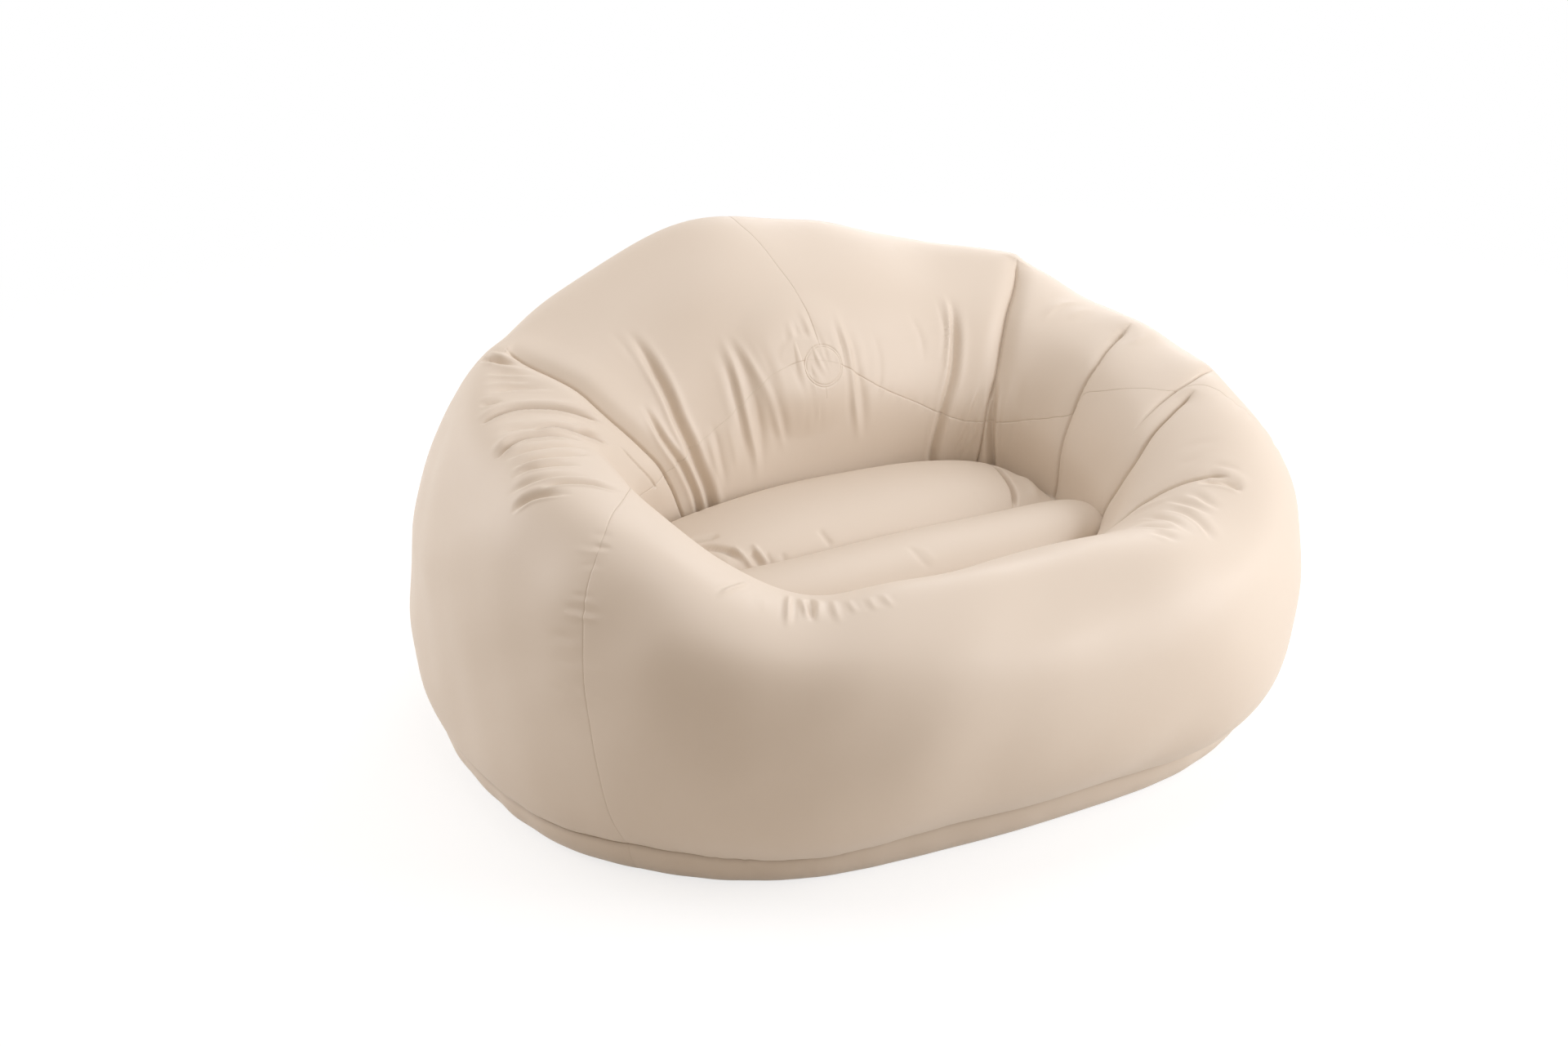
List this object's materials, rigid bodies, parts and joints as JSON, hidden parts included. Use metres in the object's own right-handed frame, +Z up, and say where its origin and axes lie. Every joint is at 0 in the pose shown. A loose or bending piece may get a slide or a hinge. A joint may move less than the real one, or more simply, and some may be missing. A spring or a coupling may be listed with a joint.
{
  "type": "inflatable armchair",
  "caption": "Inflatable club armchair: welded PVC panels form a fat ring with a high back, sloping arms and a low front rim round a seat of two tubes; screw-in air valve low on the back.",
  "frame": {"origin": "middle of the chair's plan on the floor, under the bottom panel", "axes": "+X to the sitter's left-hand side seen from the front (the long way across), the front faces -Y, +Z up"},
  "size_m": [1.3722, 1.2696, 0.7388],
  "materials": {
    "skin_pvc": "satin beige PVC film, about 0.4 mm",
    "web_pvc": "plain PVC film, welded",
    "valve_plastic": "moulded soft plastic, satin",
    "seal_rubber": "soft rubber, matt"
  },
  "bodies": {
    "chamber": {"bottom_panel": "skin_pvc", "front_panel": "skin_pvc", "left_side_panel": "skin_pvc", "right_side_panel": "skin_pvc", "backrest_panel": "skin_pvc", "seat_panel": "skin_pvc", "seat_web_front": "web_pvc", "seat_web_middle": "web_pvc", "seat_web_rear": "web_pvc", "corner_web_left": "web_pvc", "corner_web_right": "web_pvc", "tie_disc_front": "web_pvc", "tie_disc_rear": "web_pvc", "tie_strap": "web_pvc", "valve_base": "valve_plastic"},
    "seal": {"valve_seal": "seal_rubber"},
    "insert": {"valve_insert": "valve_plastic", "cap_strap": "valve_plastic"},
    "flap": {"valve_flap": "seal_rubber"},
    "cap": {"valve_cap": "valve_plastic"}
  },
  "joints": [
    {"name": "thread_lift", "type": "slide", "parent": "chamber", "child": "seal", "axis": [0, 1, 0], "range_m": [0, 0.0121]},
    {"name": "insert_unscrew", "type": "hinge", "parent": "seal", "child": "insert", "pos_m": [0.2, 0.62334, 0.25], "axis": [0, 1, 0], "range_deg": [0, 540]},
    {"name": "cap_hinge", "type": "hinge", "parent": "insert", "child": "cap", "pos_m": [0.2, 0.62934, 0.27075], "axis": [1, 0, 0], "range_deg": [0, 150]},
    {"name": "flap_hinge", "type": "hinge", "parent": "insert", "child": "flap", "pos_m": [0.2, 0.61104, 0.2625], "axis": [-1, 0, 0], "range_deg": [0, 60], "stiffness_Nm_per_rad": 0.0005}
  ],
  "couplings": [
    {"joint": "thread_lift", "follows": "insert_unscrew", "m_per_rad": 0.0012732}
  ]
}
